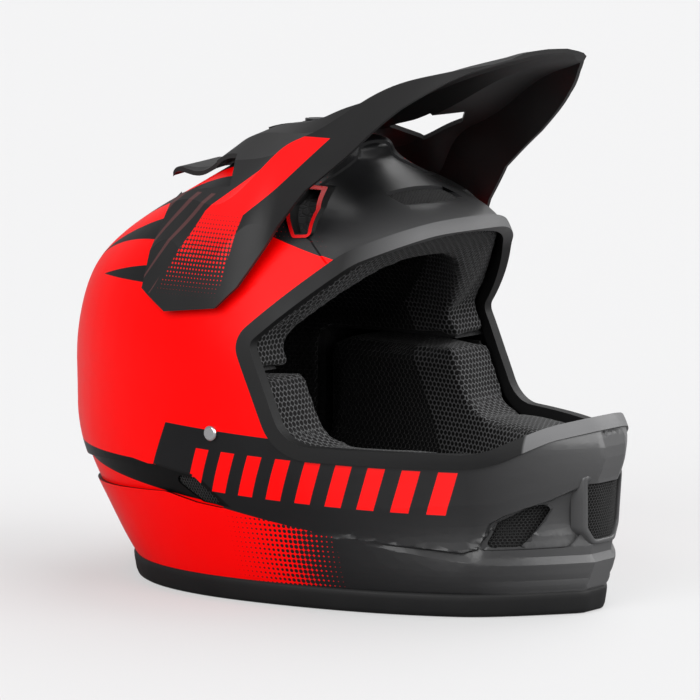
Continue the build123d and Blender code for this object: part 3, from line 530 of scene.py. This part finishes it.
# %% Visor
visor_finish, tree, shader = new_material("visor_finish")
effects = place_group(tree, grain, {"Scale": 1300.0, "Smudge": 9.0})
place = add_node(tree, "ShaderNodeSeparateXYZ",
                 {0: add_node(tree, "ShaderNodeTexCoord").outputs["Object"]}).outputs
turned = add_node(tree, "ShaderNodeSeparateXYZ",
                  {0: add_node(tree, "ShaderNodeTexCoord").outputs["Normal"]}).outputs
outward = math_node(tree, "GREATER_THAN", math_node(tree, "MULTIPLY", turned[1], place[1]), 0.0)
side_only = both(tree, math_node(tree, "GREATER_THAN", math_node(tree, "ABSOLUTE", place[1]), 0.034), outward)
lean_front = ahead(tree, 24, 236, 1.10)
visor_out = place_group(tree, outward_faces, {"Turn": 0.0}).outputs[0]
field = both(tree, ahead(tree, -22, 222, 1.0), opposite(tree, lean_front), above(tree, 0, 213, 0.0),
             below(tree, 0, 256, 0.0), visor_out, side_only)
field_fade = fade(tree, place[2], 0.166, 0.216)
field_dots = both(tree, place_group(tree, dots, {"Pitch": 2.3, "Fade": field_fade}).outputs[0],
                  below(tree, 0, 213.5, 0.0), ahead(tree, -31, 213, 0.45),
                  opposite(tree, ahead(tree, -1.3, 213, 0.12)), side_only)
arm_taper = fade(tree, place[2], 0.164, 0.224, 0.05, 0.34)
arm_bars = both(tree, place_group(tree, bars,
                                  {"Pitch": 12.0, "Lean": 0.62, "Share": arm_taper,
                                   "Shift": 4.0}).outputs[0], above(tree, 0, 168, 0.0),
                below(tree, 0, 222, 0.0), opposite(tree, ahead(tree, -34, 213, 0.45)), side_only)
tone = blend_colour(tree, effects.outputs["Smudges"], soot, (0.018, 0.0175, 0.0175, 1))
tone = blend_colour(tree, arm_bars, tone, (0.075, 0.030, 0.030, 1))
tone = blend_colour(tree, field_dots, tone, (0.85, 0.0012, 0.002, 1))
tone = blend_colour(tree, field, tone, (1.0, 0.0012, 0.002, 1))
tree.links.new(tone, shader.inputs["Base Color"])
rough = fade(tree, effects.outputs["Smudges"], 0.3, 0.7, 0.40, 0.54)
tree.links.new(rough, shader.inputs["Roughness"])
shader.inputs["Specular IOR Level"].default_value = 0.28
raise_surface(tree, shader, 0.06, 0.0005, effects.outputs["Height"])
print("visor finish ready")

# %% [markdown]
# ## Fabrics
# The lining is a thick knitted mesh with small holes through which a darker layer shows. Holes and threads
# come from the knit effect, which drives both the colour and the height, so the threads stand up in the
# light.


# %% Knitted mesh and webbing
def knitted(name, rows, hole, thread_tone, hole_tone, inner_fabric_and_shade=False):
    material, tree, shader = new_material(name)
    effects = place_group(tree, knit, {"Rows": rows, "Hole": hole})
    tint = math_node(tree, "MULTIPLY", effects.outputs["Tint"], 0.8, clamp=True)
    threads = blend_colour(tree, tint, thread_tone, tuple(min(1.0, c * 1.6) for c in thread_tone[:3]) + (1,))
    tone = blend_colour(tree, effects.outputs["Thread"], hole_tone, threads)
    if inner_fabric_and_shade:
        # Away from the port the lining is laid near black: partly the black brushed fabric inside the pads,
        # partly painted shade deep inside the helmet. A dark seam runs where the two meet.
        port_mesh_vs_deep_shade = both(tree, ahead(tree, -27, 147, 1.0, 0.6), ahead(tree, -27, 147, -0.444, 0.6))
        tone = blend_colour(tree, port_mesh_vs_deep_shade, (0.0035, 0.0035, 0.0037, 1), tone)
        off_seam = math_node(tree, "ABSOLUTE", math_node(tree, "SUBTRACT", port_mesh_vs_deep_shade, 0.5))
        seam = math_node(tree, "SUBTRACT", 1.0, math_node(tree, "MULTIPLY", off_seam, 2.0), clamp=True)
        tone = blend_colour(tree, seam, tone, (0.001, 0.001, 0.001, 1))
    tree.links.new(tone, shader.inputs["Base Color"])
    shader.inputs["Specular IOR Level"].default_value = 0.1
    shader.inputs["Roughness"].default_value = 0.75
    shader.inputs["Sheen Weight"].default_value = 0.08
    shader.inputs["Sheen Roughness"].default_value = 0.5
    raise_surface(tree, shader, 0.8, 0.0012, effects.outputs["Height"])
    return material


lining_mesh = knitted("lining_mesh", 320.0, 0.365, (0.080, 0.080, 0.082, 1), (0.002, 0.002, 0.002, 1), True)
vent_mesh = knitted("vent_mesh", 560.0, 0.35, (0.020, 0.020, 0.020, 1), (0.002, 0.002, 0.002, 1))

webbing, tree, shader = new_material("woven_webbing")
effects = place_group(tree, weave, {"Scale": 260.0})
tone = blend_colour(tree, effects.outputs["Height"], (0.008, 0.008, 0.009, 1), (0.035, 0.035, 0.037, 1))
tree.links.new(tone, shader.inputs["Base Color"])
shader.inputs["Roughness"].default_value = 0.7
shader.inputs["Sheen Weight"].default_value = 0.2
raise_surface(tree, shader, 0.5, 0.0006, effects.outputs["Height"])

floor_finish, tree, shader = new_material("studio_floor")
speck = add_node(tree, "ShaderNodeTexNoise", {"Scale": 3.0})
tone = blend_colour(tree, speck.outputs[0], (0.25, 0.25, 0.253, 1), (0.27, 0.27, 0.273, 1))
tree.links.new(tone, shader.inputs["Base Color"])
shader.inputs["Roughness"].default_value = 0.8
shader.inputs["Specular IOR Level"].default_value = 0.1
glow = add_node(tree, "ShaderNodeLightPath").outputs["Is Camera Ray"]
tree.links.new(blend_colour(tree, glow, (0.0, 0.0, 0.0, 1), (1.0, 1.0, 1.0, 1)),
               shader.inputs["Emission Color"])
shader.inputs["Emission Strength"].default_value = 0.46
floor_mesh.materials.append(floor_finish)
print("fabrics ready")

# %% [markdown]
# ## Dressing the hard parts
# A part of the frame keeps its mesh and only gets a finish. Its slots are cleared first, because a part
# can come with more than one.

# %% Finishes for the hard parts
finish_of = {"eyeport_trim": rubber, "crown_foam": foam, "cheek_plate_left": plate_plastic,
             "cheek_plate_right": plate_plastic, "cheek_snaps_left": plate_plastic,
             "cheek_snaps_right": plate_plastic, "snap_sockets": plate_plastic, "brow_mesh": vent_mesh,
             "rear_meshes": vent_mesh, "side_vent_inserts": vent_mesh, "intake_frames": red_plastic,
             "visor": visor_finish, "pivot_studs": steel, "grommets": plate_plastic, "visor_insert": brass,
             "visor_washer": rubber, "visor_screw": screw_metal, "strap_rivets": steel,
             "rivet_spacers": plate_plastic, "rivet_washers": steel, "strap_snap": plate_plastic,
             "inner_d_ring": steel, "outer_d_ring": steel}
for name, material in finish_of.items():
    mesh = nodes[name].data
    mesh.materials.clear()
    mesh.materials.append(material)
print("dressed", len(finish_of), "parts")

# %% [markdown]
# ## The chin
# The real chin is not a smooth nose: a crease runs round it above a lower block, and the side vents lie in
# a hollow under a sharp edge. A copy of the shell is cut along those lines, so that it has points where the
# creases run, and the points between them move inwards. The foam behind the chin follows by the same rule.

# %% Rules for the chin
pull_at_height = ((8, 0.0), (12, 7.0), (14, 8.6), (20, 9.7), (26, 6.4), (29, 4.3), (33, 4.9), (38, 1.7),
                  (44, 0.0))
upper_crease = ((60, 42.5), (85, 40.0), (98, 38.7), (121, 36.1), (127, 37.8), (131, 48.0), (152, 62.0),
                (166, 71.0), (176, 78))
lower_crease = ((60, 40.0), (85, 37.0), (117, 31.2), (143, 28.8), (176, 27.5))
middle_ridge = ((20, 57.0), (60, 58.0), (93, 60.0), (136, 63.0), (166, 74.5), (178, 79.0))


def ramp(value, start, end):
    share = min(1.0, max(0.0, (value - start) / (end - start)))
    return share * share * (3 - 2 * share)


def read_line(line, place):
    for (left, low), (far, high) in zip(line, line[1:]):
        if place <= far:
            share = min(1.0, max(0.0, (place - left) / (far - left)))
            return low + share * (high - low)
    return line[-1][1]


def chin_pull(point):
    return read_line(pull_at_height, point.z * 1000) / 1000 * ramp(point.x, 0.115, 0.160)


front_at_height = ((8, 162.2), (14, 165.9), (20, 168.0), (26, 170.5), (29, 171.5), (33, 169.0), (38, 169.5),
                   (74, 173.1), (80, 175.7), (86, 177.4), (92, 177.5), (98, 175.6), (104, 171.3))


def crease_depth(point):
    x, z = point.x * 1000, point.z * 1000
    upper, lower, ridge = read_line(upper_crease, x), read_line(lower_crease, x), read_line(middle_ridge, x)
    if z > upper:
        off = min(14.0, abs(z - ridge))
        return 0.055 * off * ramp(x, 10, 70) * (1 - ramp(z, 84, 96)) / 1000
    strength = 2.4 * ramp(x, 72, 112) * (1 - ramp(x, 158, 170))
    if z < lower:
        return 0.0
    from_above = min(1.0, (upper - z) / 1.2)
    from_below = min(1.0, (z - lower) / max(1.0, upper - lower - 1.2))
    return strength * from_above * from_below / 1000


# %% Helpers: cut a mesh along a line of the side view, and make a smooth copy with sharp edges kept
def cut_faces(form, near, place, across):
    edges = {edge for face in near for edge in face.edges}
    points = {vertex for face in near for vertex in face.verts}
    bmesh.ops.bisect_plane(form, geom=near + list(edges) + list(points), plane_co=place, plane_no=across,
                           dist=1e-6)


def cut_along(form, start, end, x_from, x_to, z_to):
    run = Vector((end[0] - start[0], 0, end[1] - start[1]))
    across = Vector((-run.z, 0, run.x)).normalized()
    near = [face for face in form.faces if x_from <= face.calc_center_median().x * 1000 <= x_to
            and face.calc_center_median().z * 1000 <= z_to]
    cut_faces(form, near, (start[0] / 1000, 0, start[1] / 1000), across)


def open_copy(node):
    form = bmesh.new()
    form.from_mesh(nodes[node].data)
    bmesh.ops.remove_doubles(form, verts=form.verts, dist=0.00001)
    return form


def add_piece(name, form, material, body, sharp=28):
    form.normal_update()
    for edge in form.edges:
        edge.smooth = not (len(edge.link_faces) == 2 and edge.calc_face_angle(0) > math.radians(sharp))
    for face in form.faces:
        face.smooth = True
    mesh = bpy.data.meshes.new(name)
    form.to_mesh(mesh)
    form.free()
    mesh.materials.append(material)
    piece = bpy.data.objects.new(name, mesh)
    scene.collection.objects.link(piece)
    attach(piece, body)
    return piece


# %% Shell with its creases
chin_top = 0.1
chin_zone = (60, 200, 98)
form = open_copy("shell")
for height in (12, 14, 17, 20, 23, 26, 29, 31, 33, 35.5, 38, 41, 44, 50, 56, 62, 68, 74, 80, 86, 92):
    cut_along(form, (0, height), (10, height), *chin_zone)
for place in range(64, 178, 5):
    cut_along(form, (place, 0), (place, 10), 55, 200, 98)
for place in range(-24, 25, 3):
    near = [face for face in form.faces if face.calc_center_median().x > 0.145
            and face.calc_center_median().z < chin_top]
    cut_faces(form, near, (0, place / 1000, 0), (0, 1, 0))
for line, drop in ((upper_crease, 0), (upper_crease, 1.2), (lower_crease, 0), (middle_ridge, 0)):
    for start, end in zip(line, line[1:]):
        cut_along(form, (start[0], start[1] - drop), (end[0], end[1] - drop), start[0] - 4, end[0] + 4, 98)
form.normal_update()
for vertex in form.verts:
    radial = Vector((vertex.co.x - 0.02, vertex.co.y, 0)).normalized()
    outside = vertex.normal.dot(radial) > 0.25
    creased = outside and vertex.co.x > 0.02 and vertex.co.z < chin_top
    shift = radial * -crease_depth(vertex.co) if creased else Vector()
    vertex.co.x -= chin_pull(vertex.co)
    vertex.co += shift
    if outside and vertex.co.x > 0.155 and vertex.co.z < chin_top:
        vertex.co.x = min(vertex.co.x, (read_line(front_at_height, vertex.co.z * 1000) - 1.5) / 1000)
shell_skin = add_piece("outer_shell", form, shell_paint, "helmet")
even = shell_skin.modifiers.new("even_normals", "WEIGHTED_NORMAL")
even.keep_sharp = True
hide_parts("shell")
print("shell faces:", len(shell_skin.data.polygons))

# %% Foam behind the chin
form = open_copy("chin_foam")
for height in (12, 14, 20, 26, 29, 33, 38, 44):
    cut_along(form, (0, height), (10, height), *chin_zone)
for vertex in form.verts:
    vertex.co.x -= chin_pull(vertex.co)
chin_lining = add_piece("chin_lining", form, foam, "helmet")
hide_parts("chin_foam")

# %% [markdown]
# ## Vent meshes
# The side vents hold a fine mesh behind the hollow, so the solid's copy moves inwards with the hollow. The
# front vent is a raised block: rings of one rounded outline make its frame, its inner edge and the mesh
# that closes it.

# %% Side vent meshes
hollow_depth = 0.0028
for side in ("left", "right"):
    form = open_copy("side_mesh_" + side)
    for vertex in form.verts:
        radial = Vector((vertex.co.x - 0.02, vertex.co.y, 0)).normalized()
        vertex.co -= radial * hollow_depth
    mesh_plate = add_piece("side_vent_mesh_" + side, form, vent_mesh, "helmet")
    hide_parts("side_mesh_" + side)


# %% Front vent: its frame and its mesh
vent_outline = ((15.5, 75.0), (14.5, 60.0), (13.8, 48.0), (8.5, 41.0), (-8.5, 41.0), (-13.8, 48.0),
                (-14.5, 60.0), (-15.5, 75.0))


def rounded_outline(corners, share=0.18, steps=5):
    points = []
    for before, corner, after in zip(corners[-1:] + corners[:-1], corners, corners[1:] + corners[:1]):
        start = [c + (b - c) * share for b, c in zip(before, corner)]
        end = [c + (b - c) * share for b, c in zip(after, corner)]
        for step in range(steps + 1):
            t = step / steps
            points.append(tuple((1 - t) ** 2 * p + 2 * t * (1 - t) * c + t * t * q
                                for p, c, q in zip(start, corner, end)))
    return points


def vent_point(across, height, grow, depth):
    middle = 58.0
    across, height = across * (1 + grow / 14), middle + (height - middle) * (1 + grow / 17)
    front = 171.0 + (height - 41) * 0.055 - 0.013 * across * across
    return ((front - depth) / 1000, across / 1000, height / 1000)


def vent_rings(levels):
    form = bmesh.new()
    outline = rounded_outline(vent_outline)
    rings = [[form.verts.new(vent_point(across, height, grow, depth)) for across, height in outline]
             for grow, depth in levels]
    for ring, after in zip(rings, rings[1:]):
        for step in range(len(outline)):
            nearby = (step + 1) % len(outline)
            form.faces.new((ring[step], ring[nearby], after[nearby], after[step]))
    return form, rings


form, rings = vent_rings(((2.6, 9.0), (2.6, 1.2), (2.2, 0.4), (1.4, 0.1), (0.4, 0.3), (0.0, 0.9), (0.0, 3.4)))
bmesh.ops.recalc_face_normals(form, faces=form.faces)
vent_frame = add_piece("front_vent_frame", form, shell_paint, "helmet", 50)
form, rings = vent_rings(((0.6, 2.4), (-2.0, 2.2), (-5.0, 1.9), (-9.0, 1.7)))
form.faces.new(rings[-1])
bmesh.ops.recalc_face_normals(form, faces=form.faces)
front_net = add_piece("front_vent_mesh", form, vent_mesh, "helmet")
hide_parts("front_mesh")
print("front vent ready")

# %% [markdown]
# ## Base rim
# A rubber rim closes the lower edge all round. It is swept round the shell: rays from the outside find the
# shell at the rim's height, and at each of these places a small profile is set, with a groove where it
# meets the paint.

# %% Rim round the base
tree_of_skin = BVHTree.FromObject(shell_skin, bpy.context.evaluated_depsgraph_get())
rim_profile = ((-3.4, 12.6), (-0.6, 12.9), (0.1, 12.3), (0.5, 11.2), (0.3, 9.0), (-0.7, 3.0), (-1.6, 0.8),
               (-2.8, 0.1), (-6.2, 0.1), (-7.0, 1.2), (-7.2, 10.0), (-6.4, 11.8))
rim_middle, rim_steps = Vector((0.005, 0, 0.0138)), 240
form = bmesh.new()
rings = []
for step in range(rim_steps):
    angle = step / rim_steps * math.tau
    out = Vector((math.cos(angle), math.sin(angle), 0))
    hit = tree_of_skin.ray_cast(rim_middle + out * 0.4, -out)[0]
    if hit is None:
        continue
    turned = Vector((out.x * 0.55, out.y, 0)).normalized()
    rings.append([form.verts.new((hit.x + turned.x * run / 1000, hit.y + turned.y * run / 1000,
                                  height / 1000)) for run, height in rim_profile])
for ring, after in zip(rings, rings[1:] + rings[:1]):
    for step in range(len(rim_profile)):
        nearby = (step + 1) % len(rim_profile)
        form.faces.new((ring[step], ring[nearby], after[nearby], after[step]))
bmesh.ops.recalc_face_normals(form, faces=form.faces)
base_rim = add_piece("base_rim", form, rubber, "helmet", 40)
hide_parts("base_trim")
print("rim rings:", len(rings))

# %% [markdown]
# ## Soft parts
# A pad is foam in a sewn cover, so it bulges between its edges. A copy of the plain solid is remeshed into
# even small faces and blown up a little as cloth. How far each point may move is capped, so that the pad
# keeps off its neighbours. One subdivision smooths what is left.


# %% Helper: a swollen copy of a plain solid
def padded_copy(node, name, body, voxel, shrink, cap):
    mesh = nodes[node].data.copy()
    piece = bpy.data.objects.new(name, mesh)
    scene.collection.objects.link(piece)
    bpy.context.view_layer.objects.active = piece
    remesh = piece.modifiers.new("even_faces", "REMESH")
    remesh.mode, remesh.voxel_size = "VOXEL", voxel
    bpy.ops.object.modifier_apply(modifier=remesh.name)
    form = bmesh.new()
    form.from_mesh(piece.data)
    form.normal_update()
    for vertex in form.verts:
        vertex.co -= vertex.normal * shrink
    bmesh.ops.smooth_vert(form, verts=form.verts, factor=0.5, use_axis_x=True, use_axis_y=True,
                          use_axis_z=True)
    form.to_mesh(piece.data)
    form.free()
    start = [vertex.co.copy() for vertex in piece.data.vertices]
    cloth = piece.modifiers.new("cover", "CLOTH")
    cloth.settings.use_pressure = True
    cloth.settings.uniform_pressure_force = 4
    cloth.settings.effector_weights.gravity = 0
    for step in range(1, 15):
        scene.frame_set(step)
    bpy.context.view_layer.objects.active = piece
    bpy.ops.object.modifier_apply(modifier=cloth.name)
    scene.frame_set(1)
    for vertex, old in zip(piece.data.vertices, start):
        move = vertex.co - old
        if move.length > cap:
            vertex.co = old + move.normalized() * cap
    smooth = piece.modifiers.new("smooth", "SUBSURF")
    smooth.levels = smooth.render_levels = 1
    for polygon in piece.data.polygons:
        polygon.use_smooth = True
    piece.data.materials.clear()
    piece.data.materials.append(lining_mesh)
    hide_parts(node)
    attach(piece, body)
    print(name, "points:", len(piece.data.vertices))
    return piece


# %% Pads and liner
for side in ("left", "right"):
    padded_copy("cheek_pad_" + side, "cheek_cushion_" + side, "cheek_pad_" + side,
                voxel=0.0045, shrink=0.0012, cap=0.0022)
padded_copy("comfort_liner", "crown_padding", "helmet", voxel=0.0040, shrink=0.0008, cap=0.0014)
padded_copy("neck_roll", "neck_padding", "helmet", voxel=0.0045, shrink=0.0010, cap=0.0020)


# %% [markdown]
# ## Straps
# Webbing is flat and firm, so it is modelled directly: the solid's copy gets rounded edges, and rows of
# stitches are small raised threads across the band where it is folded back.

# %% Webbing with rounded edges
for node, name in (("strap_short", "short_webbing"), ("strap_long", "long_webbing")):
    mesh = nodes[node].data.copy()
    piece = bpy.data.objects.new(name, mesh)
    scene.collection.objects.link(piece)
    edge = piece.modifiers.new("worn_edge", "BEVEL")
    edge.width, edge.segments, edge.limit_method, edge.angle_limit = 0.0004, 2, "ANGLE", math.radians(50)
    mesh.materials.clear()
    mesh.materials.append(webbing)
    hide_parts(node)
    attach(piece, "helmet")
print("straps ready")


# %% Rows of stitches across the webbing
strap_middle, stitch_pitch = -0.0103, 0.0022
stitch_half = Vector((0.0008, 0.00025, 0.00022))


def stitch_rows(name, strap, rows, columns, from_y, to_y):
    found = BVHTree.FromObject(bpy.data.objects[strap], bpy.context.evaluated_depsgraph_get())
    form = bmesh.new()
    for row in range(rows):
        y = from_y + (to_y - from_y) * row / (rows - 1)
        for column in range(columns):
            x = strap_middle + (column - (columns - 1) / 2) * stitch_pitch
            hit, turned = found.ray_cast(Vector((x, y, -0.02)), Vector((0, 0, 1)))[:2]
            if hit is None or turned.z > -0.5:
                continue
            along = Matrix.LocRotScale(hit, turned.to_track_quat("Z", "Y"), stitch_half)
            bmesh.ops.create_uvsphere(form, u_segments=8, v_segments=5, radius=1.0, matrix=along)
    piece = add_piece(name, form, thread, "helmet", 60)
    print(name, "faces:", len(piece.data.polygons))


thread = moulded("stitch_thread", (0.035, 0.035, 0.037, 1), (0.055, 0.055, 0.057, 1), 0.6, 0.75, 3000.0)
stitch_rows("short_strap_stitches", "short_webbing", 5, 8, 0.036, 0.052)
stitch_rows("long_strap_stitches", "long_webbing", 5, 8, -0.036, -0.052)
